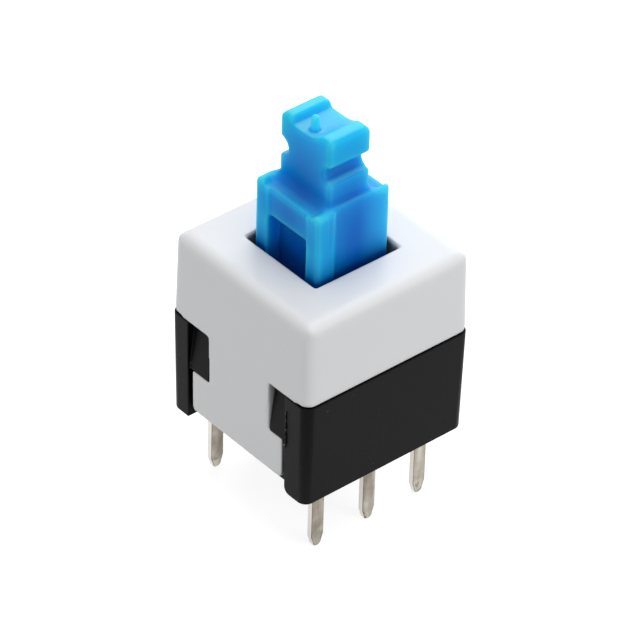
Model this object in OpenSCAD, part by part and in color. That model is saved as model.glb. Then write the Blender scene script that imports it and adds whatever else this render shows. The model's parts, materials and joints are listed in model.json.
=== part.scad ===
// Miniature latching pushbutton switch with two changeover poles and six pins.
// +Z is up, Z = 0 is the underside of the base and the origin is the middle of the footprint.
// The pin rows run along X. The cam and the wire that latches it are on the -X side.
// Everything is drawn with the button released.

/* [Base] */
// Width of the base at its rim
base_w = 8.0; // [7.8:0.1:9.0]
// Height of the base's walls
base_h = 4.6; // [4.4:0.1:5.4]
// Thickness of the base's floor
floor_t = 0.8; // [0.6:0.1:0.9]
// Radius of the upright corners of base and cover
corner_r = 0.4; // [0.2:0.05:0.5]
// How far each outer wall of the base leans in at the underside
base_draft = 0.06; // [0.02:0.01:0.1]
// Width of a corner strip beside a tongue's recess
strip_w = 1.05; // [0.9:0.05:1.1]
// Extra width of the strips on the -Y side, which lets the cover fit only one way round
key_w = 0.22; // [0:0.01:0.25]
// Depth of a tongue's recess
recess_d = 0.5; // [0.45:0.05:0.55]
// Thickness of the recessed wall behind a tongue
back_wall_t = 0.45; // [0.35:0.05:0.5]
// How far the catch lugs stand back from the corner strips at their lower edge
lug_setback = 0.1; // [0.05:0.01:0.15]
// How far they stand back at the rim, where their ramps start
lug_lead = 0.38; // [0.2:0.01:0.4]

/* [Cover] */
// Height of the cover above the base's rim
cover_h = 3.65; // [3.4:0.05:4.5]
// How far the cover's foot stands back from the base's rim
cover_step = 0.02; // [0:0.01:0.05]
// How far each wall of the cover leans in at the roof
cover_draft = 0.07; // [0.02:0.01:0.1]
// Thickness of the cover's walls
cover_wall_t = 0.7; // [0.6:0.05:0.75]
// Thickness of the roof
roof_t = 0.9; // [0.7:0.1:1.0]
// Radius of the roof's outer edges
roof_edge_r = 0.45; // [0.2:0.05:0.5]
// Width of the square opening in the roof
opening_w = 4.0; // [3.9:0.05:4.2]
// Chamfer round the opening's mouth
mouth_chamfer = 0.1; // [0.05:0.05:0.2]

/* [Snap tongues] */
// Clearance between a tongue's barbs and the corner strips beside them
barb_gap = 0.2; // [0.1:0.05:0.3]
// Width of a tongue between its two notches
tongue_w = 3.5; // [3.2:0.1:3.8]
// Height of the barbed end
barb_h = 1.93; // [1.7:0.01:2.1]
// Height of the barbed end's tip above the underside
tongue_end = 0.42; // [0.3:0.02:0.6]
// Radius of the barbed end's lower corners
barb_r = 0.35; // [0.2:0.05:0.5]
// How far a tongue leans in at its tip
tongue_draft = 0.08; // [0.04:0.01:0.12]
// Chamfer at a tongue's tip
tongue_chamfer = 0.1; // [0.05:0.01:0.15]
// Gap between a tongue and the base round it
tongue_gap = 0.05; // [0.03:0.01:0.08]

/* [Terminals] */
// Distance between pins in a row
pitch = 2.54; // [2.5:0.01:2.56]
// Distance between the two rows
row_gap = 6.0; // [5.9:0.05:6.1]
// Thickness of the terminal strip
strip_t = 0.25; // [0.2:0.05:0.3]
// Width of a pin
pin_w = 0.6; // [0.5:0.05:0.7]
// Length of a pin below the base
pin_len = 3.1; // [2.5:0.1:4.0]
// Length of a pin's tapered tip
tip_len = 0.5; // [0.3:0.1:0.8]
// Radius of a pin's tip
tip_r = 0.2; // [0.1:0.01:0.25]
// Width of a contact plate inside the base
plate_w = 1.6; // [1.4:0.1:1.7]
// Width of the stem beside the finger's path that carries the rest contact's plate
stem_w = 0.4; // [0.35:0.05:0.5]
// Height of the foot that joins that stem to its pin
stem_foot_h = 0.35; // [0.25:0.05:0.45]
// Height of the rest contact's plate above the floor
nc_low = 2.55; // [2.45:0.05:2.65]
// Height of the pressed contact's plate
no_high = 2.05; // [1.9:0.05:2.1]
// Gap between a plate's top and the base's rim
plate_drop = 0.1; // [0.05:0.05:0.2]
// Clearance round a pin in its slot
slot_gap = 0.05; // [0.03:0.01:0.08]

/* [Plunger] */
// Full travel of the plunger
stroke = 2.3; // [2.0:0.05:2.3]
// Travel at which the cam holds the plunger down
lock_travel = 1.5; // [1.4:0.05:1.6]
// Width of the plunger's block
block_w = 3.6; // [3.4:0.05:3.7]
// Height of the block's shoulder above the roof
shoulder_h = 2.75; // [2.6:0.05:3.2]
// Radius of the block's edges
block_r = 0.15; // [0.05:0.05:0.2]
// Width of the corner rails on the sides with no window
rail_x = 0.9; // [0.7:0.05:1.1]
// How far the side panels stand back from the rails
panel_step = 0.13; // [0.05:0.01:0.2]
// How far the bar over the window stands back from the rails
bar_step = 0.1; // [0.05:0.01:0.15]
// Height of the bar over the window
bar_h = 1.4; // [1.2:0.05:1.5]
// Width of the window
window_w = 2.2; // [2.15:0.05:2.3]
// Depth of the window from the rails
window_d = 0.6; // [0.55:0.01:0.65]
// Clearance between the resting plunger and the roof's underside
stop_gap = 0.05; // [0.03:0.01:0.1]
// Clearance between the stop flange and the contact plates that it passes
flange_gap = 0.275; // [0.2:0.025:0.4]
// Width of the stop flange along X
flange_w = 2.0; // [1.6:0.1:2.6]
// Height of the stop flange
flange_h = 0.7; // [0.5:0.1:0.8]
// Width across the faces that carry the moving contacts
carrier_w = 4.0; // [3.9:0.05:4.05]
// Clearance between the pressed plunger and the floor
floor_gap = 0.2; // [0.15:0.05:0.3]

/* [Plunger head] */
// Width of the head along X
head_x = 1.95; // [1.6:0.05:2.1]
// Width of the head along Y
head_y = 2.8; // [2.6:0.05:3.0]
// Height of the head's top above the shoulder
head_h = 2.83; // [2.5:0.01:3.0]
// Radius of the head's top edges
head_r = 0.25; // [0.1:0.05:0.3]
// Height of the cap groove's middle above the shoulder
groove_z = 1.32; // [1.2:0.02:1.4]
// Width of the cap groove at its mouth
groove_w = 0.8; // [0.6:0.05:0.9]
// Depth of the cap groove
groove_d = 0.42; // [0.3:0.02:0.5]
// Radius of the hollow that sweeps from each plain side of the neck into the shoulder
hollow_r = 0.45; // [0.3:0.05:0.5]
// Depth of the hollow below the shoulder
hollow_d = 0.2; // [0.05:0.01:0.25]
// Length of the hollow between its round ends
hollow_l = 2.3; // [1.6:0.1:2.4]
// Depth of the dips in the shoulder's rim beside the hollows
dip_d = 0.2; // [0.1:0.01:0.3]
// Width of a dip
dip_w = 2.9; // [2.0:0.1:3.0]
// Radius at the foot of the neck on its grooved sides
side_fillet = 0.21; // [0.1:0.01:0.25]
// Depth of the channel along the head's top
channel_d = 0.33; // [0.2:0.01:0.4]
// Radius of the channel's hollow side
channel_r = 1.2; // [1.0:0.1:1.5]
// Half width of the channel on its stepped side
channel_step_y = 0.87; // [0.75:0.01:0.95]
// How far the channel's step leans in at its foot
channel_step_lean = 0.12; // [0.05:0.01:0.2]
// Radius of the moulding gate's stub at the channel's floor
gate_r = 0.19; // [0.12:0.01:0.22]
// Height of the gate's stub above the channel's floor
gate_h = 0.7; // [0.4:0.05:0.8]
// Distance of the stub from the middle, towards -X
gate_x = 0.5; // [0.4:0.05:0.55]

/* [Cam and latch wire] */
// Diameter of the latch wire
wire_d = 0.4; // [0.35:0.01:0.42]
// Distance from the plunger's face to the middle of the wire's shank
wire_off = 0.3; // [0.28:0.01:0.34]
// Depth of the wire's cam end below the roof's underside
wire_drop = 0.4; // [0.36:0.01:0.5]
// Height of the wire's pivot above the floor
pivot_h = 0.55; // [0.5:0.05:0.65]
// Depth of the wire's pivot end in its boss, short of the wall behind
pivot_short = 0.2; // [0.15:0.05:0.25]
// Height of the pivot boss above the pivot
boss_h = 0.85; // [0.7:0.05:0.9]
// Thickness of the boss beside the leaf's slot
boss_wall_t = 0.15; // [0.1:0.05:0.2]
// Inner radius of the wire's two bends
bend_r = 0.15; // [0.12:0.01:0.2]
// Sideways place of the cam end with the button released
cam_start_y = 0.78; // [0.76:0.01:0.8]
// Sideways place of the cam end with the button fully pressed
cam_end_y = 0.45; // [0.42:0.01:0.48]
// Height of the heart above the cam's floor
heart_h = 0.42; // [0.36:0.01:0.44]
// Clearance between the wire's cam end and the cam
cam_gap = 0.07; // [0.06:0.01:0.1]
// Clearance between the wire's cam end and the cam's floor
cam_end_gap = 0.12; // [0.08:0.01:0.15]
// Sideways place of the notch and of the heart's lower tip
notch_y = -0.1; // [-0.14:0.01:-0.06]
// Sideways reach of the heart on its return side
heart_far_y = -0.5; // [-0.55:0.01:-0.45]
// Height of the heart's flanks above its lower tip
heart_flank = 0.4; // [0.35:0.01:0.5]
// Height of the horns beside the notch
horn_h = 0.22; // [0.18:0.01:0.26]
// Width of a horn's top
horn_w = 0.12; // [0.08:0.01:0.14]
// Width of the guide's root on the bar
guide_w = 0.4; // [0.3:0.05:0.5]
// Radial clearance of the wire in its pivot hole
pivot_gap = 0.03; // [0.02:0.01:0.05]

/* [Springs] */
// Wire diameter of the return spring
coil_wire = 0.22; // [0.16:0.02:0.24]
// Outer diameter of the return spring
coil_od = 1.9; // [1.7:0.05:1.95]
// Turns of the return spring
coil_turns = 8; // [6:1:9]
// Distance of the spring's axis from the middle, towards +X
coil_x = 0.3; // [0.25:0.05:0.35]
// Height of the spring pocket's roof above the plunger's foot
pocket_h = 2.9; // [2.6:0.1:3.0]
// Clearance round the spring in its pocket
coil_gap = 0.12; // [0.08:0.02:0.15]
// Height of the post on the floor that centres the spring
post_h = 1.4; // [1.0:0.1:1.6]
// Thickness of the leaf that presses the wire
leaf_t = 0.12; // [0.1:0.01:0.14]
// Width of the leaf, which spans the wire's swing
leaf_w = 1.6; // [1.5:0.05:1.8]
// Depth of the leaf's foot in the pivot boss
leaf_foot = 0.45; // [0.35:0.05:0.5]
// Distance of the leaf's knee below the base's rim
knee_drop = 0.6; // [0.5:0.05:0.8]
// Height of the leaf's bow above the base's rim
bow_rise = 0.9; // [0.7:0.05:1.0]
// Length and height of the lead above the bow
lead_l = 0.3; // [0.2:0.05:0.35]

/* [Moving contacts] */
// Thickness of a moving contact
contact_t = 0.12; // [0.1:0.01:0.14]
// Width of a contact finger
finger_w = 0.7; // [0.5:0.05:0.8]
// Height of the touching line above the floor with the button released
touch_h = 3.3; // [3.2:0.05:3.4]
// Height of the band that joins the fingers
band_h = 0.75; // [0.6:0.05:0.8]
// Distance from the touching line up to the band
band_rise = 1.1; // [1.0:0.05:1.2]
// Radius of the bow at a finger's end
bow_r = 0.35; // [0.3:0.01:0.38]
// Gap between a finger and a contact plate
touch_gap = 0.03; // [0.02:0.01:0.05]
// Radius of the two pegs that hold a moving contact
peg_r = 0.2; // [0.15:0.01:0.25]
// Distance of each peg from the middle
peg_x = 0.95; // [0.85:0.05:1.1]

/* [Hidden] */
$fn = 48;
e = 0.01;

// Base and cover
rim = base_w / 2;
foot = rim - base_draft;
recess_x = rim - recess_d;
inner_x = recess_x - back_wall_t;
recess_y = rim - strip_w;
row_y = row_gap / 2;
inner_y = row_y + strip_t / 2;
cover_foot = rim - cover_step;
cover_top = cover_foot - cover_draft;
top_z = base_h + cover_h;
roof_z = top_z - roof_t;
cover_inner = cover_foot - cover_wall_t;
barb_top = tongue_end + barb_h;
tongue_in = recess_x + tongue_gap;
barb_w = 2 * (recess_y - barb_gap) - key_w;

// Terminals
plate_top = base_h - plate_drop;
nc_z = floor_t + nc_low;
no_z = floor_t + no_high;
nc_x = -pitch;
no_x = pitch;
row_reach = pitch + pin_w / 2;
plate_x = row_reach - plate_w / 2;

// Plunger
shoulder_z = top_z + shoulder_h;
head_z = shoulder_z + head_h;
block_face = block_w / 2;
stop_z = roof_z - stop_gap;
flange_reach = row_y - strip_t / 2 - flange_gap;
plunger_foot = floor_t + floor_gap + stroke;
carrier_top = stop_z - flange_h;
window_top = shoulder_z - bar_h;
cam_floor = -block_face + window_d;

// Latch wire
wire_r = wire_d / 2;
wire_x = -block_face - wire_off;
cam_z = roof_z - wire_drop;
pivot_z = floor_t + pivot_h;
wire_len = sqrt(pow(cam_z - pivot_z, 2) + pow(cam_start_y, 2));
wire_lean = atan2(cam_start_y, cam_z - pivot_z);
lock_z = cam_z + lock_travel;
pivot_end = -inner_x + pivot_short;
boss_x = wire_x - wire_r - bend_r;
boss_top = pivot_z + boss_h;

// Springs
coil_axis_r = (coil_od - coil_wire) / 2;
pocket_r = coil_od / 2 + coil_gap;
pocket_top = plunger_foot + pocket_h;
coil_len = pocket_top - floor_t;
post_r = coil_od / 2 - coil_wire - coil_gap;
touch_z = floor_t + touch_h;
band_z = touch_z + band_rise;
peg_z = band_z + band_h / 2;
contact_in = carrier_w / 2;

// ---------- shared shapes ----------

// Stands a profile drawn in X and Z upright and pulls it through the full depth along Y
module along_y(depth) {
    rotate([90, 0, 0])
        linear_extrude(depth, center = true)
            children();
}

// Stands a profile drawn in Y and Z upright and pulls it through the full depth along X
module along_x(depth) {
    rotate([90, 0, 90])
        linear_extrude(depth, center = true)
            children();
}

// Rectangle with round corners, centred
module round_rect(w, d, r) {
    square([w - 2 * r, d], center = true);
    square([w, d - 2 * r], center = true);
    for (sx = [-1, 1], sy = [-1, 1])
        translate([sx * (w / 2 - r), sy * (d / 2 - r)])
            circle(r);
}

// Side view of a drafted block whose two upper corners are rounded
module crowned_profile(low, high, z0, z1, r) {
    difference() {
        polygon([[-low, z0], [low, z0], [high, z1], [-high, z1]]);
        for (s = [-1, 1])
            translate([s * (high - r), z1 - r])
                difference() {
                    translate([s * (r + e) / 2, (r + e) / 2])
                        square(r + e, center = true);
                    circle(r);
                }
    }
}

// Square block whose walls lean evenly, with rounded upper edges where r is given
module drafted_block(low, high, z0, z1, r) {
    intersection() {
        along_y(3 * max(low, high))
            crowned_profile(low, high, z0, z1, r);
        along_x(3 * max(low, high))
            crowned_profile(low, high, z0, z1, r);
    }
}

// What comes off the four upright corners of a drafted block to leave them round
module corner_waste(low, high, z0, z1, r) {
    lean = (high - low) / (z1 - z0);
    inset = low - r * sqrt(1 + lean * lean);
    for (turn = [0:90:270])
        rotate(turn)
            translate([inset, inset, z0])
                rotate(a = atan(lean * sqrt(2)), v = [-1, 1, 0])
                    difference() {
                        translate([0, 0, -r])
                            cube([2 * r, 2 * r, z1 - z0 + 2 * r]);
                        translate([0, 0, -2 * r])
                            cylinder(r = r, h = z1 - z0 + 4 * r);
                    }
}

// ---------- base ----------

module base_shell() {
    difference() {
        drafted_block(foot, rim, 0, base_h, 0);
        corner_waste(foot, rim, 0, base_h, corner_r);
        translate([-inner_x, -inner_y, floor_t])
            cube([2 * inner_x, 2 * inner_y, base_h]);
        for (s = [-1, 1])
            translate([s * (recess_x + recess_d), key_w / 2, base_h / 2])
                cube([2 * recess_d, 2 * recess_y - key_w, 2 * base_h], center = true);
    }
}

// The lugs that a tongue's barbs ride over, as ramps, and catch under
module catch_lugs() {
    lug_in = tongue_w / 2 + tongue_gap;
    lug_out = recess_y + e;
    for (sx = [-1, 1], sy = [-1, 1])
        scale([sx, sy, 1])
            translate([0, (lug_in + lug_out) / 2, 0])
                along_y(lug_out - lug_in)
                    polygon([
                        [recess_x - e, barb_top],
                        [rim - lug_setback, barb_top],
                        [rim - lug_lead, base_h],
                        [recess_x - e, base_h]
                    ]);
}

// The block that holds the latch wire's pivot and the leaf's foot
module pivot_boss() {
    translate([-inner_x - e, -leaf_w / 2 - boss_wall_t, floor_t - e])
        cube([inner_x + e + boss_x, leaf_w + 2 * boss_wall_t, boss_top - floor_t + e]);
}

// The pockets in the end walls that a terminal row's outer plates stand in
module row_pockets() {
    for (side = [-1, 1])
        translate([0, side * (inner_y - (strip_t + slot_gap) / 2), floor_t + base_h / 2])
            cube([2 * (row_reach + slot_gap), strip_t + slot_gap, base_h], center = true);
}

module pin_slots() {
    for (x = [nc_x, 0, no_x], y = [-row_y, row_y])
        translate([x, y, floor_t / 2])
            cube([pin_w + 2 * slot_gap, strip_t + 2 * slot_gap, 2 * floor_t], center = true);
}

module base() {
    color("#26272a")
    difference() {
        union() {
            base_shell();
            catch_lugs();
            pivot_boss();
            translate([coil_x, 0, floor_t - e])
                cylinder(r = post_r, h = post_h + e);
        }
        pin_slots();
        row_pockets();
        translate([pivot_end - pivot_short / 2, 0, pivot_z])
            rotate([0, 90, 0])
                cylinder(r = wire_r + pivot_gap, h = inner_x);
        translate([-inner_x, -leaf_w / 2, boss_top - leaf_foot])
            cube([leaf_t, leaf_w, leaf_foot + e]);
    }
}

// ---------- cover ----------

module tongue() {
    outer = cover_foot;
    intersection() {
        along_y(base_w)
            polygon([
                [tongue_in, tongue_end],
                [outer - tongue_draft - tongue_chamfer, tongue_end],
                [outer - tongue_draft, tongue_end + tongue_chamfer],
                [outer, base_h + e],
                [tongue_in, base_h + e]
            ]);
        along_x(3 * base_w) {
            translate([key_w / 2, tongue_end + barb_h / 2])
                round_rect(barb_w, barb_h, barb_r);
            translate([key_w / 2 - barb_w / 2, barb_top - barb_r])
                square([barb_w, barb_r]);
            translate([-tongue_w / 2, barb_top - e])
                square([tongue_w, base_h + 2 * e - barb_top]);
        }
    }
}

module housing() {
    color("#eef0f4") {
        difference() {
            drafted_block(cover_foot, cover_top, base_h, top_z, roof_edge_r);
            corner_waste(cover_foot, cover_top, base_h, top_z, corner_r);
            translate([-cover_inner, -cover_inner, base_h - e])
                cube([2 * cover_inner, 2 * cover_inner, roof_z - base_h + e]);
            translate([-opening_w / 2, -opening_w / 2, base_h])
                cube([opening_w, opening_w, cover_h + e]);
            mouth = opening_w / 2 + mouth_chamfer;
            drafted_block(mouth - 2 * mouth_chamfer, mouth + mouth_chamfer,
                top_z - 2 * mouth_chamfer, top_z + mouth_chamfer, 0);
        }
        tongue();
        mirror([1, 0, 0])
            tongue();
    }
}

// ---------- plunger ----------

// Plan of the block: rails at the -X side, and panels that stand back behind them
module block_plan() {
    translate([-block_face + rail_x / 2, 0])
        round_rect(rail_x, block_w, block_r);
    round_rect(block_w, block_w - 2 * panel_step, block_r);
}

module block() {
    intersection() {
        translate([0, 0, stop_z - e])
            linear_extrude(shoulder_z - stop_z + 2 * e)
                block_plan();
        drafted_block(block_face, block_face, stop_z - e, shoulder_z, block_r);
    }
}

// Side view of the head and neck along Y, with the cap grooves and the channel on top
module head_profile_y() {
    half = head_y / 2;
    bottom_r = 0.45 * groove_w;
    difference() {
        union() {
            crowned_profile(half, half, shoulder_z - e, head_z, head_r);
            for (s = [-1, 1])
                scale([s, 1])
                    foot_fillet(half, side_fillet, 0);
        }
        for (s = [-1, 1])
            scale([s, 1]) {
                translate([half - groove_d + bottom_r, shoulder_z + groove_z])
                    circle(bottom_r);
                polygon([
                    [half - groove_d / 2, shoulder_z + groove_z - 0.4 * groove_w],
                    [half + e, shoulder_z + groove_z - groove_w / 2],
                    [half + e, shoulder_z + groove_z + groove_w / 2],
                    [half - groove_d / 2, shoulder_z + groove_z + 0.4 * groove_w]
                ]);
            }
        translate([0, head_z - channel_d + channel_r])
            circle(channel_r, $fn = 96);
        polygon([
            [0, head_z - channel_d],
            [channel_step_y - channel_step_lean, head_z - channel_d],
            [channel_step_y, head_z + e],
            [0, head_z + e]
        ]);
    }
}

// Side view of the head and neck along X
module head_profile_x() {
    half = head_x / 2;
    crowned_profile(half, half, shoulder_z - e, head_z, head_r);
    for (s = [-1, 1])
        scale([s, 1])
            foot_fillet(half, hollow_r, hollow_d);
}

// Hollow curve between the neck's side and the shoulder, let down by a depth
module foot_fillet(half, r, sunk) {
    difference() {
        translate([half - e, shoulder_z - e])
            square([r + e, r - sunk + e]);
        translate([half + r, shoulder_z + r - sunk])
            circle(r);
    }
}

module head() {
    intersection() {
        along_y(block_w)
            head_profile_x();
        along_x(block_w)
            head_profile_y();
    }
    gate_stub();
}

// What is left of the moulding gate: a slim stub that tapers to a round tip in the channel
module gate_stub() {
    end_r = 0.85 * gate_r;
    root_h = channel_d / 2;
    end_h = root_h + gate_h - end_r;
    translate([-gate_x, 0, head_z - channel_d - root_h])
        rotate_extrude() {
            polygon([[0, 0], [gate_r, 0], [gate_r, root_h], [end_r, end_h], [0, end_h]]);
            translate([0, end_h])
                intersection() {
                    circle(end_r);
                    square(end_r);
                }
        }
}

// The hollows in the shoulder, and the dips that open them to the block's faces
module shoulder_hollows() {
    middle_x = head_x / 2 + hollow_r;
    for (s = [-1, 1])
        scale([s, 1, 1]) {
            translate([middle_x, 0, shoulder_z + hollow_r - hollow_d])
                intersection() {
                    union() {
                        rotate([90, 0, 0])
                            cylinder(r = hollow_r, h = hollow_l, center = true);
                        for (t = [-1, 1])
                            translate([0, t * hollow_l / 2, 0])
                                sphere(hollow_r);
                    }
                    translate([-hollow_r, -block_w, -2 * hollow_r])
                        cube([2 * hollow_r, 2 * block_w, hollow_r + hollow_d + e]);
                }
            translate([middle_x, 0, shoulder_z])
                rotate([90, 0, 90])
                    linear_extrude(block_w)
                        dip_profile();
        }
}

// Side view of the dip: a flat floor that curves up at its ends
module dip_profile() {
    floor_half = dip_w / 2 - dip_d;
    translate([-floor_half, -dip_d])
        square([2 * floor_half, 2 * dip_d]);
    for (s = [-1, 1])
        translate([s * floor_half, 0])
            circle(dip_d);
}

// The cam's window: a pocket that the heart and the guide stand in
module cam_window() {
    low = cam_z - wire_r - cam_gap;
    translate([-block_face - e, -window_w / 2, low])
        cube([window_d + e, window_w, window_top - low]);
}

// The heart that the wire travels round, with the notch that holds it
module heart() {
    clear = wire_r + cam_gap;
    low = cam_z + 0.75 * clear;
    shelf = lock_z - wire_r;
    slope = (cam_end_y - cam_start_y) / stroke;
    near_low = cam_start_y - clear + slope * (low + heart_flank - cam_z);
    near_high = cam_start_y - clear + slope * (shelf + horn_h / 2 - cam_z);
    translate([cam_floor - e, 0, 0])
        rotate([90, 0, 90])
            linear_extrude(heart_h + e)
                difference() {
                    polygon([
                        [notch_y, low],
                        [near_low, low + heart_flank],
                        [near_high, shelf + horn_h / 2],
                        [near_high - horn_w, shelf + horn_h],
                        [notch_y, shelf],
                        [heart_far_y + horn_w / 2, shelf + 1.3 * horn_h],
                        [heart_far_y, shelf + horn_h],
                        [heart_far_y, low + heart_flank]
                    ]);
                    translate([notch_y, lock_z])
                        circle(wire_r + cam_gap / 2);
                }
}

// The guide that hangs from the bar over the window and turns the wire towards the notch
module cam_guide() {
    near_y = cam_end_y - wire_r - cam_gap;
    tip_y = notch_y + cam_gap;
    tip_z = lock_z + wire_r + 2 * cam_gap;
    root_z = window_top - guide_w / 2;
    translate([cam_floor - e, 0, 0])
        rotate([90, 0, 90])
            linear_extrude(heart_h + e)
                polygon([
                    [tip_y, tip_z],
                    [near_y - horn_w, root_z],
                    [near_y, window_top + e],
                    [near_y - guide_w - horn_w, window_top + e],
                    [tip_y - horn_w, tip_z + cam_gap]
                ]);
}

module plunger() {
    color("#1f8fdc") {
        difference() {
            union() {
                block();
                head();
                translate([-block_face, -carrier_w / 2, plunger_foot])
                    cube([block_w, carrier_w, stop_z - plunger_foot]);
                translate([-flange_w / 2, -flange_reach, carrier_top])
                    cube([flange_w, 2 * flange_reach, flange_h]);
                carrier_pegs();
            }
            translate([-block_face - e, -window_w / 2, window_top - e])
                cube([bar_step + e, window_w, bar_h + 2 * e]);
            shoulder_hollows();
            cam_window();
            translate([coil_x, 0, plunger_foot - e])
                cylinder(r = pocket_r, h = pocket_h + e);
        }
        heart();
        cam_guide();
    }
}

// Pegs on the carrier's faces that the moving contacts are pressed over
module carrier_pegs() {
    for (x = [-peg_x, peg_x])
        translate([x, 0, peg_z])
            rotate([90, 0, 0])
                cylinder(r = peg_r, h = carrier_w + 4 * contact_t, center = true);
}

// ---------- contacts ----------

// One pin with its tapered, rounded tip
module pin_outline(x) {
    low = -pin_len;
    translate([x, 0]) {
        polygon([
            [-pin_w / 2, floor_t + e],
            [-pin_w / 2, low + tip_len],
            [-tip_r, low + tip_r],
            [tip_r, low + tip_r],
            [pin_w / 2, low + tip_len],
            [pin_w / 2, floor_t + e]
        ]);
        translate([0, low + tip_r])
            circle(tip_r);
    }
}

// Strip terminal drawn in X and Z, standing in the front or the rear row
module terminal(side) {
    color("#b9b7b0")
    translate([0, side * row_y, 0])
        along_y(strip_t)
            children();
}

module terminal_nc(side) {
    terminal(side) {
        pin_outline(nc_x);
        translate([-row_reach, floor_t]) {
            square([pin_w, stem_foot_h]);
            square([stem_w, plate_top - floor_t]);
        }
        translate([-row_reach, nc_z])
            square([plate_w, plate_top - nc_z]);
    }
}

module terminal_com(side) {
    terminal(side) {
        pin_outline(0);
        translate([-plate_w / 2, floor_t])
            square([plate_w, plate_top - floor_t]);
    }
}

module terminal_no(side) {
    terminal(side) {
        pin_outline(no_x);
        translate([row_reach - plate_w, floor_t])
            square([plate_w, no_z - floor_t]);
    }
}

// Side view of a contact finger: it bows out from the carrier to the plates
module finger_profile() {
    bow_y = row_y - strip_t / 2 - touch_gap - bow_r;
    tail = 0.2;
    translate([bow_y, touch_z])
        difference() {
            circle(bow_r);
            circle(bow_r - contact_t);
            translate([-2 * bow_r, -bow_r])
                square([2 * bow_r, 2 * bow_r]);
        }
    polygon([
        [contact_in, band_z],
        [contact_in + contact_t, band_z],
        [bow_y + e, touch_z + bow_r],
        [bow_y, touch_z + bow_r - contact_t]
    ]);
    translate([bow_y - tail, touch_z - bow_r])
        square([tail + e, contact_t]);
}

module moving_contact(side) {
    color("#c98f4c")
    scale([1, side, 1])
    difference() {
        union() {
            translate([-plate_x - finger_w / 2, contact_in, band_z - e])
                cube([2 * plate_x + finger_w, contact_t, band_h + e]);
            for (x = [-plate_x, 0, plate_x])
                translate([x, 0, 0])
                    along_x(finger_w)
                        finger_profile();
        }
        for (x = [-peg_x, peg_x])
            translate([x, contact_in, peg_z])
                rotate([90, 0, 0])
                    cylinder(r = peg_r, h = 4 * contact_t, center = true);
    }
}

// ---------- springs and wire ----------

// Height along the coil: its first and last turns lie close, as on a compression spring
function coil_rise(t) =
    let (dead = 1 / coil_turns, free = coil_len - coil_wire - 2 * coil_wire)
    t < dead ? coil_wire * t / dead
    : t > 1 - dead ? coil_len - coil_wire - coil_wire * (1 - t) / dead
    : coil_wire + free * (t - dead) / (1 - 2 * dead);

module return_spring() {
    sides = 6;
    steps = coil_turns * 14;
    points = [
        for (i = [0:steps], k = [0:sides - 1])
            let (turn = 360 * coil_turns * i / steps, a = 360 * k / sides,
                 r = coil_axis_r + coil_wire / 2 * cos(a))
            [coil_x + r * cos(turn), r * sin(turn),
             floor_t + coil_wire / 2 + coil_rise(i / steps) + coil_wire / 2 * sin(a)]
    ];
    skin = [
        for (i = [0:steps - 1], k = [0:sides - 1])
            let (n = (k + 1) % sides)
            [i * sides + k, (i + 1) * sides + k, (i + 1) * sides + n, i * sides + n]
    ];
    ends = [
        [for (k = [0:sides - 1]) k],
        [for (k = [0:sides - 1]) steps * sides + sides - 1 - k]
    ];
    color("#c9ccd0")
        polyhedron(points, concat(skin, ends), convexity = 8);
}

// A quarter bend of the wire, from +Z at the origin over to +X
module wire_bend(turn_r) {
    translate([turn_r, 0, 0])
        rotate([90, 0, 0])
            rotate([0, 0, 90])
                rotate_extrude(angle = 90)
                    translate([turn_r, 0])
                        circle(wire_r);
}

module latch_wire() {
    turn_r = wire_r + bend_r;
    cam_end = cam_floor - cam_end_gap;
    color("#d2d4d6")
    translate([wire_x, 0, pivot_z])
        rotate([-wire_lean, 0, 0]) {
            translate([0, 0, turn_r])
                cylinder(r = wire_r, h = wire_len - 2 * turn_r);
            translate([0, 0, wire_len - turn_r])
                wire_bend(turn_r);
            translate([turn_r, 0, wire_len])
                rotate([0, 90, 0])
                    cylinder(r = wire_r, h = cam_end - wire_x - turn_r);
            translate([0, 0, turn_r])
                rotate([0, 180, 0])
                    wire_bend(turn_r);
            translate([-turn_r, 0, 0])
                rotate([0, -90, 0])
                    cylinder(r = wire_r, h = wire_x - turn_r - pivot_end);
        }
}

// Leaf that stands in the boss behind the wire and bows out to press on its shank
module latch_spring() {
    back = -inner_x;
    tip_x = wire_x - wire_r - touch_gap;
    foot_z = boss_top - leaf_foot;
    knee_z = base_h - knee_drop;
    bow_z = base_h + bow_rise;
    lead_z = bow_z + 1.5 * lead_l;
    color("#c4c6c9")
        along_y(leaf_w)
            polygon([
                [back, foot_z],
                [back + leaf_t, foot_z],
                [back + leaf_t, knee_z],
                [tip_x, bow_z],
                [tip_x - lead_l, lead_z],
                [tip_x - lead_l - leaf_t, lead_z],
                [tip_x - 1.1 * leaf_t, bow_z],
                [back, knee_z + leaf_t / 3]
            ]);
}

base();
housing();
plunger();
terminal_nc(-1);  // terminal_front_nc
terminal_com(-1);  // terminal_front_com
terminal_no(-1);  // terminal_front_no
terminal_nc(1);  // terminal_rear_nc
terminal_com(1);  // terminal_rear_com
terminal_no(1);  // terminal_rear_no
moving_contact(-1);  // moving_contact_front
moving_contact(1);  // moving_contact_rear
return_spring();
latch_wire();
latch_spring();
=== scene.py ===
# %% [markdown]
# # A latching pushbutton switch
# The switch is eight millimetres square. A white cover is clipped over a black base,
# a blue button slides through the cover's roof, and six tinned pins stand below.
# A first press latches the button down and a second one lets it up: a bent steel wire
# runs round a heart-shaped cam in the button's side. Sliding strips of bronze on the
# button join the pins two by two.
#
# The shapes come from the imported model, so each part starts as a copy of its solid,
# gets the small roundings that a mould or a press leaves, and then its finish. The
# objects that Blender opens with are cleared first, so that only the switch is
# measured.

# %% Load the frame
import json
import math
import random

import bmesh
import bpy
from mathutils import Matrix, Vector

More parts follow.
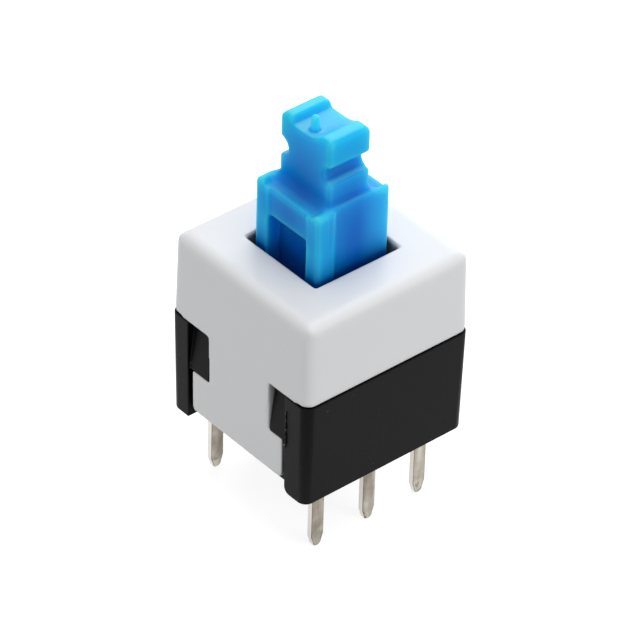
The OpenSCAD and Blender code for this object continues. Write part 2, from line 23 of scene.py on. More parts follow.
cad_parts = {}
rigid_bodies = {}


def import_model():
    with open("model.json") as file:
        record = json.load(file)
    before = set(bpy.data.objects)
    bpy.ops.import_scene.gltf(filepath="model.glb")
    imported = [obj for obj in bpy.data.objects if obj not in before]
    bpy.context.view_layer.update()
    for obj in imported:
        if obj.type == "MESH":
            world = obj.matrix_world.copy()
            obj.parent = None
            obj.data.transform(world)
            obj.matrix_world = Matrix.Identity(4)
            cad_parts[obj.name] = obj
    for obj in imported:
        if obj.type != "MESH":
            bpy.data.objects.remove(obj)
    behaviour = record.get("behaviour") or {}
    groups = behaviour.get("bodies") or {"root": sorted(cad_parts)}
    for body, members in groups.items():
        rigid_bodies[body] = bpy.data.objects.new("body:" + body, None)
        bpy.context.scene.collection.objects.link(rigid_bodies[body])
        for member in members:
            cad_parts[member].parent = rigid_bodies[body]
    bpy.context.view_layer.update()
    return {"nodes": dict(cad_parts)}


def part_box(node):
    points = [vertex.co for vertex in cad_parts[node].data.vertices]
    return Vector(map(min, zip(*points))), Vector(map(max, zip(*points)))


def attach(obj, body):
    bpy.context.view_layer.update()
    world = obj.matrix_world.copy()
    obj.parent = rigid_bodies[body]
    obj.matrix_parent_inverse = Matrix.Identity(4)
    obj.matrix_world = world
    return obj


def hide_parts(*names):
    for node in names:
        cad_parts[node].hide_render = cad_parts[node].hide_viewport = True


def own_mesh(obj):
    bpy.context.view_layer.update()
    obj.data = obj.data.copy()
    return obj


for leftover in list(bpy.data.objects):
    bpy.data.objects.remove(leftover)
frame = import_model()

# %% [markdown]
# Blender works in metres here and the switch is drawn in millimetres, so one factor
# turns the drawing's lengths into Blender's. Colours are written as sRGB hex values,
# the way a paint chart gives them, and one function makes them linear for the shader.

# %% Units and colours
MM = 0.001


def linear(hex_code):
    """The linear colour, with alpha, of an sRGB value such as "8FA0B1"."""
    channels = [int(hex_code[i:i + 2], 16) / 255 for i in (0, 2, 4)]
    return [c / 12.92 if c <= 0.04045 else ((c + 0.055) / 1.055) ** 2.4 for c in channels] + [1.0]


print("one millimetre is", MM, "m; mid grey is", [round(c, 3) for c in linear("808080")])

# %% [markdown]
# A long lens from well back keeps the edges of a small part nearly parallel, which is
# how a catalogue shows components. The camera looks down on the near corner and leans
# a little to one side. A Track To constraint could aim it, but wouldn't give the lean,
# so its three directions are worked out from angles and set as a matrix. The Standard
# view shows colours as they are written. The default one would turn the whites grey.

# %% Camera
CAMERA_AZIMUTH, CAMERA_ELEVATION, CAMERA_ROLL = -41.0719, 37.5641, 1.6991
CAMERA_DISTANCE = 169.4387 * MM
CAMERA_TARGET = Vector((-0.12299, -0.14007, 4.70588)) * MM
LENS, SENSOR = 254.2067, 36.0
NEAREST, FARTHEST = 1 * MM, 5000 * MM

azimuth, elevation, roll = (math.radians(a) for a in (CAMERA_AZIMUTH, CAMERA_ELEVATION, CAMERA_ROLL))
back = Vector((math.sin(azimuth) * math.cos(elevation),
               -math.cos(azimuth) * math.cos(elevation),
               math.sin(elevation)))
level_right = Vector((math.cos(azimuth), math.sin(azimuth), 0))
level_up = back.cross(level_right)
right = level_right * math.cos(roll) + level_up * math.sin(roll)
up = level_up * math.cos(roll) - level_right * math.sin(roll)

camera_data = bpy.data.cameras.new("camera")
camera_data.lens, camera_data.sensor_width = LENS, SENSOR
camera_data.clip_start, camera_data.clip_end = NEAREST, FARTHEST
camera = bpy.data.objects.new("camera", camera_data)
camera.matrix_world = (Matrix.Translation(CAMERA_TARGET + back * CAMERA_DISTANCE)
                       @ Matrix((right, up, back)).transposed().to_4x4())
bpy.context.scene.collection.objects.link(camera)
bpy.context.scene.camera = camera
bpy.context.scene.view_settings.view_transform = "Standard"
print("camera at", [round(v / MM, 1) for v in camera.location], "mm")

# %% [markdown]
# Every finish below is a small network of shader nodes. One function adds a node, sets
# what it is given and makes its links, so that each network reads as a list. A second
# one opens an empty material. A third tells what is seen from what is lit: it gives 1
# to rays that come from the camera, straight, by way of a shiny surface or through
# glass, and 0 to the rest. Patterns are placed by Object coordinates, which are the
# drawing's own lengths, so a pattern keeps its real size and doesn't stretch.


# %% Material helpers
def add(tree, kind, inputs=None, **settings):
    """A new node. An input's value is a number, a colour or another node's output."""
    made = tree.nodes.new(kind)
    for name, value in settings.items():
        setattr(made, name, value)
    for socket, value in (inputs or {}).items():
        if isinstance(value, bpy.types.NodeSocket):
            tree.links.new(value, made.inputs[socket])
        else:
            made.inputs[socket].default_value = value
    return made


def new_material(name):
    """An empty material, its node tree and its output node."""
    made = bpy.data.materials.new(name)
    made.use_nodes = True
    made.node_tree.nodes.clear()
    return made, made.node_tree, made.node_tree.nodes.new("ShaderNodeOutputMaterial")


def seen_directly(tree):
    """An output that is 1 where the camera looks, also by reflection or through glass."""
    path = add(tree, "ShaderNodeLightPath")
    mirrored = add(tree, "ShaderNodeMath", {0: path.outputs["Is Camera Ray"],
                                            1: path.outputs["Is Glossy Ray"]}, operation="MAXIMUM")
    through = add(tree, "ShaderNodeMath", {0: mirrored.outputs[0], 1: path.outputs["Is Transmission Ray"]},
                  operation="MAXIMUM")
    return through.outputs[0]


print("helpers:", ", ".join(helper.__name__ for helper in (add, new_material, seen_directly)))

# %% [markdown]
# The switch stands on its pins on a plain pale surface. A real table gives a soft
# shadow and throws light back up on the sides. A studio sweep is curved up at the back
# to hide the horizon. Here the world behind is just as white, so a flat grid one cell
# wide is enough, laid at the height of the pins' tips.

# %% Floor
FLOOR_HALF = 600 * MM
PIN_TIP_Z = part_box("terminal_front_nc")[0].z

floor_mesh = bmesh.new()
bmesh.ops.create_grid(floor_mesh, x_segments=1, y_segments=1, size=FLOOR_HALF,
                      matrix=Matrix.Translation((0, 0, PIN_TIP_Z)))
floor_data = bpy.data.meshes.new("floor")
floor_mesh.to_mesh(floor_data)
floor_mesh.free()
floor = bpy.data.objects.new("floor", floor_data)
bpy.context.scene.collection.objects.link(floor)
print("floor", FLOOR_HALF * 2 / MM, "mm wide, at z", round(PIN_TIP_Z / MM, 2), "mm")

# %% [markdown]
# The floor is matt paper, which a Diffuse shader gives by itself. Its grey shows the
# shadow. A glow is added that only the camera and mirror-like surfaces see: it lifts
# the paper to white in the render without putting any more light on the switch, as a
# whiter floor or a stronger lamp would.

# %% Matt paper
PAPER_GREY, FLOOR_GLOW = "BEBEBE", 0.78

paper, tree, output = new_material("matt_paper")
glow = add(tree, "ShaderNodeMath", {0: seen_directly(tree), 1: FLOOR_GLOW}, operation="MULTIPLY")
matt = add(tree, "ShaderNodeBsdfDiffuse", {"Color": linear(PAPER_GREY)})
lit = add(tree, "ShaderNodeEmission", {"Color": linear("FFFFFF"), "Strength": glow.outputs[0]})
both = add(tree, "ShaderNodeAddShader", {0: matt.outputs[0], 1: lit.outputs[0]})
tree.links.new(both.outputs[0], output.inputs["Surface"])
floor.data.materials.append(paper)
print("paper", PAPER_GREY, "with a glow of", FLOOR_GLOW)

# %% [markdown]
# Small white parts are best lit in a tent of white cloth, which sends even light from
# everywhere and leaves no hard shadow. It could be a ring of big lamps, but the world
# stands for it at no cost. The camera and shiny surfaces see it as pure white, and the
# switch is lit by a good deal less.

# %% Light tent
TENT_LIGHT = 0.61

world = bpy.data.worlds.new("light_tent")
world.use_nodes = True
bpy.context.scene.world = world
tree = world.node_tree
tree.nodes.clear()
output = tree.nodes.new("ShaderNodeOutputWorld")
strength = add(tree, "ShaderNodeMapRange", {"Value": seen_directly(tree), "To Min": TENT_LIGHT,
                                            "To Max": 1.0})
tent = add(tree, "ShaderNodeBackground", {"Color": linear("FFFFFF"), "Strength": strength.outputs[0]})
tree.links.new(tent.outputs[0], output.inputs["Surface"])
print("tent light", TENT_LIGHT, "on the switch, 1.0 for the camera")

# %% [markdown]
# A tent alone would make every face equally bright. One large soft lamp behind gives
# the top its brightness and a cool tone, one overhead evens it out, and a weak one on
# the right makes that side a little brighter than the left, so that the corner
# between them reads. Their light is low enough that the white cover doesn't clip.


# %% Lamps
def soft_lamp(name, place_mm, size_mm, watts, tint="FFFFFF", aim_mm=(0, 0, 6)):
    """A square lamp that faces the switch. The camera doesn't see the lamp itself."""
    data = bpy.data.lights.new(name, "AREA")
    data.shape, data.size, data.energy = "SQUARE", size_mm * MM, watts
    data.color = linear(tint)[:3]
    lamp = bpy.data.objects.new(name, data)
    lamp.location = Vector(place_mm) * MM
    lamp.rotation_euler = (Vector(aim_mm) * MM - lamp.location).to_track_quat("-Z", "Y").to_euler()
    lamp.visible_camera = False
    bpy.context.scene.collection.objects.link(lamp)
    print("lamp", name, "at", place_mm, "mm,", watts, "W")


soft_lamp("back_softbox", (140, 80, 105), 130, 0.12, "F2F6FF")
soft_lamp("overhead_softbox", (10, 0, 170), 120, 0.08)
soft_lamp("right_fill", (60, -160, 60), 100, 0.05)

# %% [markdown]
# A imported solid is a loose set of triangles. Its copy gets its doubled corners merged,
# and triangles that lie in one plane become one face again, because an operator such
# as bevel needs to see true edges and not the lines between triangles.

# %% Copy a solid
MERGE_GAP = 0.001 * MM
FLAT_ANGLE = math.radians(0.5)


def merged_copy(node):
    """The solid's mesh as a bmesh with joined corners and whole flat faces."""
    solid = bmesh.new()
    solid.from_mesh(frame["nodes"][node].data)
    bmesh.ops.remove_doubles(solid, verts=solid.verts[:], dist=MERGE_GAP)
    bmesh.ops.dissolve_limit(solid, angle_limit=FLAT_ANGLE, verts=solid.verts[:], edges=solid.edges[:])
    return solid


probe = merged_copy("base")
print("base copy:", len(probe.faces), "faces,", len(probe.verts), "corners")
probe.free()

# %% [markdown]
# Moulded and pressed parts have no knife edges, and an edge with no width catches no
# light. Bevel cuts every sharp edge back by a few hundredths of a millimetre. It moves
# nothing else, so the part stays where the frame has it. A Bevel modifier would do it
# too, but the operator can be given its own choice of edges, which the base needs.

# %% Soften the edges
SHARP_ANGLE = math.radians(28)


def soften(solid, width_mm, steps=3):
    """Bevels the sharp edges."""
    sharp = [e for e in solid.edges if e.is_manifold and e.calc_face_angle(0) > SHARP_ANGLE]
    bmesh.ops.bevel(solid, geom=sharp, offset=width_mm * MM, offset_type="OFFSET", segments=steps,
                    profile=0.5, affect="EDGES", clamp_overlap=False, material=-1)


print("edges that turn by over", round(math.degrees(SHARP_ANGLE)), "degrees get a bevel")

# %% [markdown]
# The cover and the button are softer still: plastic shrinks as it cools and every
# corner, inside and outside, ends up round. A bevel fails where many small edges meet,
# so these two are made again as an even net of tiny squares by the Remesh modifier,
# on a copy a thousand times as big, and smooth_vert then relaxes the net. Each pass
# rounds the corners a little more. Subdivision Surface rounds as well, but it wants a
# tidy cage of four-sided faces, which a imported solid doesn't have. A test on the place
# picks the corners that get extra passes.


# %% Mould a solid again
def remould(node, grain_mm, passes, rounder=None, more=0):
    """A copy of the solid as an even net of small faces, smoothed so that its edges go soft.

    Corners for which rounder(place in mm) is true are smoothed more times."""
    solid = merged_copy(node)
    bmesh.ops.scale(solid, vec=(1 / MM,) * 3, verts=solid.verts[:])
    data = bpy.data.meshes.new("rough")
    solid.to_mesh(data)
    rough = bpy.data.objects.new("rough", data)
    bpy.context.scene.collection.objects.link(rough)
    net = rough.modifiers.new("net", "REMESH")
    net.mode, net.voxel_size = "VOXEL", grain_mm
    bpy.context.view_layer.update()
    whole = bpy.data.meshes.new_from_object(rough.evaluated_get(bpy.context.evaluated_depsgraph_get()))
    solid.clear()
    solid.from_mesh(whole)
    bpy.data.objects.remove(rough)
    bpy.data.meshes.remove(data)
    bpy.data.meshes.remove(whole)
    chosen = [v for v in solid.verts if rounder and rounder(v.co)]
    for verts, times in ((solid.verts[:], passes), (chosen, more)):
        for _ in range(times):
            bmesh.ops.smooth_vert(solid, verts=verts, factor=0.5,
                                  use_axis_x=True, use_axis_y=True, use_axis_z=True)
    bmesh.ops.scale(solid, vec=(MM,) * 3, verts=solid.verts[:])
    print(f"{node} moulded again: {len(solid.faces)} faces, {len(chosen)} corners rounder")
    return solid


print("voxel net, then smooth_vert, on a copy", round(1 / MM), "times as big")

# %% [markdown]
# The last helper turns a bmesh into an object. The piece sits at the origin with its
# place in its mesh, rides on one of the frame's bodies and stands for the solids that it
# replaces, which are hidden. Where a piece has crisp flat faces, weighted normals keep
# them flat right up to their bevels.

# %% Finish a piece
SMOOTH_ANGLE = math.radians(40)


def finish_piece(name, solid, body, material, nodes=(), crisp=True):
    """Makes the bmesh an object that rides on a body and stands for the given nodes."""
    data = bpy.data.meshes.new(name)
    solid.to_mesh(data)
    solid.free()
    data.shade_smooth()
    data.materials.append(material)
    piece = bpy.data.objects.new(name, data)
    bpy.context.scene.collection.objects.link(piece)
    if crisp:
        data.set_sharp_from_angle(angle=SMOOTH_ANGLE)
        even = piece.modifiers.new("even_normals", "WEIGHTED_NORMAL")
        even.keep_sharp = True
    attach(piece, body)
    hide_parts(*nodes)
    print(f"{name}: {len(data.polygons)} faces")
    return piece


print("faces that meet at under", round(math.degrees(SMOOTH_ANGLE)), "degrees are shaded smooth")

# %% [markdown]
# The cover is ABS, moulded in a polished steel tool. It gives a clean white with a
# half-matt sheen: the highlight on an edge is wide and soft. White ABS lets a little
# light in, so a small amount of subsurface keeps its shadows from going hard.
#
# The colour is a neutral white that drifts by one or two steps over millimetres, as
# pigment does. The tool's grain is about 0.02 mm, too fine to show, so it is drawn
# five times as coarse, in the roughness and in a very shallow bump.

# %% White cover plastic: colour
WHITE_GRAIN, PIGMENT_CLOUD = 9 / MM, 0.35 / MM
WHITE_LOW, WHITE_HIGH = "E8E9EA", "ECECED"

white_abs, tree, output = new_material("moulded_white_abs")
place = add(tree, "ShaderNodeTexCoord")
grain = add(tree, "ShaderNodeTexNoise", {"Vector": place.outputs["Object"], "Scale": WHITE_GRAIN,
                                         "Detail": 3.0})
cloud = add(tree, "ShaderNodeTexNoise", {"Vector": place.outputs["Object"], "Scale": PIGMENT_CLOUD,
                                         "Detail": 2.0})
tone = add(tree, "ShaderNodeMix", {0: cloud.outputs["Fac"], 6: linear(WHITE_LOW), 7: linear(WHITE_HIGH)},
           data_type="RGBA")
print("white", WHITE_LOW, "to", WHITE_HIGH, "in clouds", round(1 / PIGMENT_CLOUD / MM, 1), "mm wide")

# %% [markdown]
# Little light reaches the gaps around the button and beside the clips, so their shade
# is painted into the colour as dark grey. It could be painted by hand, but an ambient
# occlusion node finds the gaps by itself: it measures how open each point is within 0.8 mm.

# %% White cover plastic: painted gap shade and shader
AO_SAMPLES = 16
GAP_SHADE_REACH, GAP_SHADE_GREY = 0.8 * MM, "4A4542"

# Painted shade: the less open a point is, the nearer its white goes to dark grey.
hollow = add(tree, "ShaderNodeAmbientOcclusion", {"Distance": GAP_SHADE_REACH}, samples=AO_SAMPLES)
shade = add(tree, "ShaderNodeMapRange", {"Value": hollow.outputs["AO"], "From Min": 0.25, "From Max": 0.85,
                                         "To Min": 0.9, "To Max": 0.0})
tone = add(tree, "ShaderNodeMix", {0: shade.outputs[0], 6: tone.outputs[2], 7: linear(GAP_SHADE_GREY)},
           data_type="RGBA")
rough = add(tree, "ShaderNodeMapRange", {"Value": grain.outputs["Fac"], "To Min": 0.36, "To Max": 0.5})
bump = add(tree, "ShaderNodeBump", {"Height": grain.outputs["Fac"], "Distance": 0.004 * MM, "Strength": 0.5})
shader = add(tree, "ShaderNodeBsdfPrincipled", {
    "Base Color": tone.outputs[2], "Roughness": rough.outputs[0], "IOR": 1.54,
    "Subsurface Weight": 0.15, "Subsurface Radius": (1.0, 0.9, 0.8), "Subsurface Scale": 0.3 * MM,
    "Normal": bump.outputs[0]})
tree.links.new(shader.outputs[0], output.inputs["Surface"])
print("gaps within", round(GAP_SHADE_REACH / MM, 2), "mm turn", GAP_SHADE_GREY, "and the IOR is that of ABS, 1.54")

# %% [markdown]
# The cover is a box open below, with a tongue on each plain side whose barbs clip
# under the base's lugs. It could be built anew as a hollowed box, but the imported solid
# already has its opening, tongues and barbs in place, so only its corners are worked
# on. The roof's rim, the four upright corners and the foot over the base are rounder
# than the clips, which have to hold, so those get the extra passes.

# %% Cover
ROOF_RIM_Z, COVER_FOOT_Z = 6.2, 4.8
SKIN, END_WALL, CORNER_XY = 3.2, 3.8, 13.2
COVER_GRAIN = 0.066


def cover_rounder(at):
    """True at the roof's rim, along the upright corners and at the foot over the base."""
    outside = max(abs(at.x), abs(at.y)) > SKIN
    # The product of x and y is this large only within 0.7 mm of an upright corner.
    upright = abs(at.x * at.y) > CORNER_XY
    foot = at.z < COVER_FOOT_Z and abs(at.y) > END_WALL
    return outside and (at.z > ROOF_RIM_Z or upright or foot)


solid = remould("housing", COVER_GRAIN, passes=1, rounder=cover_rounder, more=14)
finish_piece("cover_shell", solid, "case", white_abs, ["housing"], crisp=False)

# %% [markdown]
# The base is black polyamide, which stands the heat of soldering. It is black right
# through, with a dull satin surface, so its faces differ by their sheen more than by
# their colour. The grain is as fine as the cover's and drawn as coarse, and the black
# drifts by a step or two over two millimetres. The mould opens upwards and leaves faint
# upright lines. They are about 0.05 mm apart in truth and drawn three times as coarse.
# A painted map would need the block to be unwrapped. A Mapping node that shrinks
# heights to a twentieth pulls a plain noise out into such lines. Here and there a glass
# fibre comes to the surface as a pale speck, which is drawn some ten times too wide.

# %% Black base plastic: colour
BLACK_GRAIN, BLACK_CLOUD = 9 / MM, 0.5 / MM
MOULD_LINES, FIBRES = 6 / MM, 3.2 / MM
BLACK_LOW, BLACK_HIGH, LINE_GREY, FIBRE_GREY = "0B0B0C", "101011", "161617", "343433"
UPRIGHT = (1, 1, 0.05)

black_pa, tree, output = new_material("moulded_black_polyamide")
place = add(tree, "ShaderNodeTexCoord")
grain = add(tree, "ShaderNodeTexNoise", {"Vector": place.outputs["Object"], "Scale": BLACK_GRAIN,
                                         "Detail": 3.0})
cloud = add(tree, "ShaderNodeTexNoise", {"Vector": place.outputs["Object"], "Scale": BLACK_CLOUD,
                                         "Detail": 2.0})
tone = add(tree, "ShaderNodeMix", {0: cloud.outputs["Fac"], 6: linear(BLACK_LOW), 7: linear(BLACK_HIGH)},
           data_type="RGBA")
drawn = add(tree, "ShaderNodeMapping", {"Vector": place.outputs["Object"], "Scale": UPRIGHT})
marks = add(tree, "ShaderNodeTexNoise", {"Vector": drawn.outputs[0], "Scale": MOULD_LINES, "Detail": 2.0})
lines = add(tree, "ShaderNodeMapRange", {"Value": marks.outputs["Fac"], "From Min": 0.45, "From Max": 0.7,
                                         "To Max": 0.22})
tone = add(tree, "ShaderNodeMix", {0: lines.outputs[0], 6: tone.outputs[2], 7: linear(LINE_GREY)},
           data_type="RGBA")
fleck = add(tree, "ShaderNodeTexNoise", {"Vector": place.outputs["Object"], "Scale": FIBRES, "Detail": 1.0})
fibres = add(tree, "ShaderNodeMapRange", {"Value": fleck.outputs["Fac"], "From Min": 0.76, "From Max": 0.82})
tone = add(tree, "ShaderNodeMix", {0: fibres.outputs[0], 6: tone.outputs[2], 7: linear(FIBRE_GREY)},
           data_type="RGBA")
print("black", BLACK_LOW, "to", BLACK_HIGH, "with lines", round(1 / MOULD_LINES / MM, 2), "mm apart")

# %% [markdown]
# In the notches beside the tongues, where little light reaches, the black is painted
# deeper than on the outer faces: painted shade that ambient occlusion finds. The
# specular level is far below that of a polished part, because a fine satin surface
# spreads what it reflects until it nearly vanishes.

# %% Black base plastic: painted notch shade and shader
NOTCH_SHADE_REACH, NOTCH_SHADE_BLACK = 0.6 * MM, "030303"

# Painted shade: the less open a point is, the nearer its black goes to near black.
hollow = add(tree, "ShaderNodeAmbientOcclusion", {"Distance": NOTCH_SHADE_REACH}, samples=AO_SAMPLES)
shade = add(tree, "ShaderNodeMapRange", {"Value": hollow.outputs["AO"], "From Min": 0.25, "From Max": 0.8})
tone = add(tree, "ShaderNodeMix", {0: shade.outputs[0], 6: linear(NOTCH_SHADE_BLACK), 7: tone.outputs[2]},
           data_type="RGBA")
rough = add(tree, "ShaderNodeMapRange", {"Value": grain.outputs["Fac"], "To Min": 0.34, "To Max": 0.5})
bump = add(tree, "ShaderNodeBump", {"Height": grain.outputs["Fac"], "Distance": 0.004 * MM, "Strength": 0.6})
shader = add(tree, "ShaderNodeBsdfPrincipled", {
    "Base Color": tone.outputs[2], "Roughness": rough.outputs[0], "IOR": 1.5,
    "Specular IOR Level": 0.07, "Normal": bump.outputs[0]})
tree.links.new(shader.outputs[0], output.inputs["Surface"])
print("notches within", round(NOTCH_SHADE_REACH / MM, 2), "mm turn", NOTCH_SHADE_BLACK, "and the IOR is 1.5")

# %% [markdown]
# The base is a block with a recess on each plain side for the cover's tongue and a
# strip left standing at each corner. Its mould was cut with crisp edges, so it isn't
# made again as a net: a copy with fine bevels keeps its faces flat. The wide strips are
# rounded off at their feet, so those edges are found by their place and bevelled
# first, much wider than the others.

# %% Base
FOOT_CORNER, FOOT_STEPS, BASE_EDGE = 0.3 * MM, 6, 0.05
FOOT_Z, STRIP_X = 0.01 * MM, 3.4 * MM
STRIP_Y = (-2.9 * MM, -2.6 * MM)

solid = merged_copy("base")
corners = [e for e in solid.edges
           if all(v.co.z < FOOT_Z and STRIP_Y[0] < v.co.y < STRIP_Y[1] and abs(v.co.x) > STRIP_X
                  for v in e.verts)]
bmesh.ops.bevel(solid, geom=corners, offset=FOOT_CORNER, offset_type="OFFSET", segments=FOOT_STEPS,
                profile=0.5, affect="EDGES", clamp_overlap=False, material=-1)
print("base: rounded", len(corners), "foot corners by", round(FOOT_CORNER / MM, 2), "mm")
soften(solid, BASE_EDGE)
finish_piece("base_block", solid, "case", black_pa, ["base"])

# %% [markdown]
# Where two halves of a worn mould meet, a little plastic squeezes out as a thin torn
# fin. One stands along the inner edge of a wide strip, with a bent tag at its lower
# end. A bump in the material wouldn't stand out from the edge, so it is a piece of its
# own: a grid one cell wide, whose rows are shaken by seeded amounts, and which solidify
# gives its thickness.

# %% Flash left by the mould
FLASH_LOW, FLASH_HIGH, FLASH_STEPS = 2.2 * MM, 3.95 * MM, 22
FLASH_Y, FLASH_REACH, FLASH_THICK = -2.85 * MM, 0.07 * MM, 0.05 * MM
FLASH_ROOT, FLASH_SET_BACK = 0.08 * MM, 0.03 * MM
TAG_SHARE, TAG_SWAY, TAG_REACH = 0.12, 0.07 * MM, 0.03 * MM
SWAY, LEAST_REACH, MOST_REACH, ROOT_SWAY = 0.02, 0.5, 1.3, 0.4
SAME_ROW = 0.01

shaky = random.Random(7)
edge_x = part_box("base")[0].x
flash = bmesh.new()
bmesh.ops.create_grid(flash, x_segments=1, y_segments=FLASH_STEPS, size=0.5)
for row in range(FLASH_STEPS + 1):
    share = row / FLASH_STEPS
    sway, reach = shaky.uniform(-SWAY, SWAY) * MM, FLASH_REACH * shaky.uniform(LEAST_REACH, MOST_REACH)
    if share < TAG_SHARE:
        sway, reach = sway + TAG_SWAY, reach + TAG_REACH
    for v in flash.verts:
        # A corner that already has its place has a height too, so each moves only once.
        if abs(v.co.y + 0.5 - share) < SAME_ROW and v.co.z == 0:
            tip = v.co.x < 0
            v.co = Vector((edge_x + (FLASH_SET_BACK - reach if tip else FLASH_ROOT),
                           FLASH_Y + (sway if tip else ROOT_SWAY * sway),
                           FLASH_LOW + share * (FLASH_HIGH - FLASH_LOW)))
bmesh.ops.solidify(flash, geom=flash.faces[:], thickness=FLASH_THICK)
bmesh.ops.recalc_face_normals(flash, faces=flash.faces[:])
print("flash from z", round(FLASH_LOW / MM, 2), "to", round(FLASH_HIGH / MM, 2), "mm")

# %% [markdown]
# The fin's outer edge is painted pale, a painted highlight where it catches the light,
# and its sides are painted near black, a painted shadow beside it. The whole fin is
# rough. Two materials would need a seam between them; the surface normal tells edge from
# side in one, and a noise of crumbs 0.12 mm wide breaks up the pale line. Real crumbs
# are about a third of that.

# %% Flash: painted edge highlight and side shadow
CRUMBS = 8 / MM
FLASH_SIDE_SHADOW, EDGE_GLINT_LOW, EDGE_GLINT_HIGH = "020202", "6E6E6A", "A2A29C"

flash_paint, tree, output = new_material("flash_painted_light")
place = add(tree, "ShaderNodeTexCoord")
facing = add(tree, "ShaderNodeSeparateXYZ", {"Vector": place.outputs["Normal"]})
sideways = add(tree, "ShaderNodeMath", {0: facing.outputs["X"]}, operation="ABSOLUTE")
crumbs = add(tree, "ShaderNodeTexNoise", {"Vector": place.outputs["Object"], "Scale": CRUMBS, "Detail": 2.0})
pale = add(tree, "ShaderNodeMix", {0: crumbs.outputs["Fac"], 6: linear(EDGE_GLINT_LOW), 7: linear(EDGE_GLINT_HIGH)},
           data_type="RGBA")
# Painted highlight on the pale edge and painted shadow on the near-black sides.
tone = add(tree, "ShaderNodeMix", {0: sideways.outputs[0], 6: linear(FLASH_SIDE_SHADOW), 7: pale.outputs[2]},
           data_type="RGBA")
bump = add(tree, "ShaderNodeBump", {"Height": crumbs.outputs["Fac"], "Distance": 0.01 * MM, "Strength": 0.6})
shader = add(tree, "ShaderNodeBsdfPrincipled", {
    "Base Color": tone.outputs[2], "Roughness": 0.7, "Specular IOR Level": 0.1, "Normal": bump.outputs[0]})
tree.links.new(shader.outputs[0], output.inputs["Surface"])
finish_piece("parting_flash", flash, "case", flash_paint)

# %% [markdown]
# The button is acetal, a slippery plastic that suits a slider, moulded in a fine satin
# tool whose grain of about 0.02 mm is drawn six times as coarse. Dyed acetal is milky:
# light goes in, wanders and comes out again. Where the part is thin, the light comes
# back pale and a little green, and where it is thick, most is swallowed and the blue
# goes deep. Subsurface scattering gives a part of this but leaves the colour too even.
# So the rest is painted light: an ambient occlusion node turned inside looks 2 mm into
# the body, and its answer runs the colour from the painted pale glow of thin parts to
# the deep blue of thick ones.

# %% Blue button plastic: thickness and painted glow
BLUE_GRAIN, BODY_DEPTH = 8 / MM, 2.0 * MM
THIN_GLOW_BLUE, THICK_BLUE = "16C4FA", "006AD0"

blue_pom, tree, output = new_material("moulded_blue_acetal")
place = add(tree, "ShaderNodeTexCoord")
grain = add(tree, "ShaderNodeTexNoise", {"Vector": place.outputs["Object"], "Scale": BLUE_GRAIN,
                                         "Detail": 3.0})
# Painted light: thin parts are painted pale, as if lit through.
thick = add(tree, "ShaderNodeAmbientOcclusion", {"Distance": BODY_DEPTH}, inside=True, samples=AO_SAMPLES)
depth = add(tree, "ShaderNodeMapRange", {"Value": thick.outputs["AO"], "From Min": 0.15, "From Max": 0.92})
tone = add(tree, "ShaderNodeMix", {0: depth.outputs[0], 6: linear(THIN_GLOW_BLUE), 7: linear(THICK_BLUE)},
           data_type="RGBA")
print("blue", THIN_GLOW_BLUE, "where thin and", THICK_BLUE, "where", round(BODY_DEPTH / MM, 1), "mm thick")

# %% [markdown]
# Two places get painted light. The head's top faces the sky and is thin where its channel
# is cut, so faces there that look up get a painted sheen, and those down in the channel
# are palest. The +X end, nearest the back lamp, is painted lighter, as if that lamp's
# light came through. Both depend on the place or on the way a face looks, which a
# material can read for itself.

# %% Blue button plastic: painted sheen and painted light from the back lamp
HOLLOW_REACH = 1.6 * MM
TOP_SHEEN_BLUE, FAR_LIT_BLUE = "86E6FA", "38BEF4"
HEAD_FROM, HEAD_TO = 10.5 * MM, 12.3 * MM
FAR_FROM, FAR_TO = 0.3 * MM, 1.9 * MM

hollow = add(tree, "ShaderNodeAmbientOcclusion", {"Distance": HOLLOW_REACH}, samples=AO_SAMPLES)
facing = add(tree, "ShaderNodeSeparateXYZ", {"Vector": place.outputs["Normal"]})
# Painted sheen: faces of the head that look up turn pale.
upward = add(tree, "ShaderNodeMapRange", {"Value": facing.outputs["Z"], "From Min": 0.8, "From Max": 1.0,
                                          "To Max": 0.85})
open_sky = add(tree, "ShaderNodeMapRange", {"Value": hollow.outputs["AO"], "From Min": 0.1, "From Max": 0.35})
upward = add(tree, "ShaderNodeMath", {0: upward.outputs[0], 1: open_sky.outputs[0]}, operation="MULTIPLY")
channel = add(tree, "ShaderNodeMapRange", {"Value": hollow.outputs["AO"], "From Min": 0.7, "From Max": 0.95,
                                           "To Min": 1.0, "To Max": 0.45})
upward = add(tree, "ShaderNodeMath", {0: upward.outputs[0], 1: channel.outputs[0]}, operation="MULTIPLY")
level = add(tree, "ShaderNodeSeparateXYZ", {"Vector": place.outputs["Object"]})
head = add(tree, "ShaderNodeMapRange", {"Value": level.outputs["Z"], "From Min": HEAD_FROM,
                                        "From Max": HEAD_TO})
upward = add(tree, "ShaderNodeMath", {0: upward.outputs[0], 1: head.outputs[0]}, operation="MULTIPLY")
tone = add(tree, "ShaderNodeMix", {0: upward.outputs[0], 6: tone.outputs[2], 7: linear(TOP_SHEEN_BLUE)},
           data_type="RGBA")
# Painted light: the colour turns paler towards the +X end, where the back lamp stands.
lit_far_side = add(tree, "ShaderNodeMapRange", {"Value": level.outputs["X"], "From Min": FAR_FROM,
                                            "From Max": FAR_TO, "To Max": 0.85})
tone = add(tree, "ShaderNodeMix", {0: lit_far_side.outputs[0], 6: tone.outputs[2], 7: linear(FAR_LIT_BLUE)},
           data_type="RGBA")
print("paler above z", round(HEAD_FROM / MM, 1), "mm and past x", round(FAR_FROM / MM, 1), "mm")

# %% [markdown]
# The posts beside the window rub in the cover's opening and carry fine upright lines,
# pale because scratched acetal scatters light. They are drawn 0.2 mm apart, several
# times as coarse as real ones. Three masks, one for each direction, keep them to the
# posts, where a painted map would have to be unwrapped first.

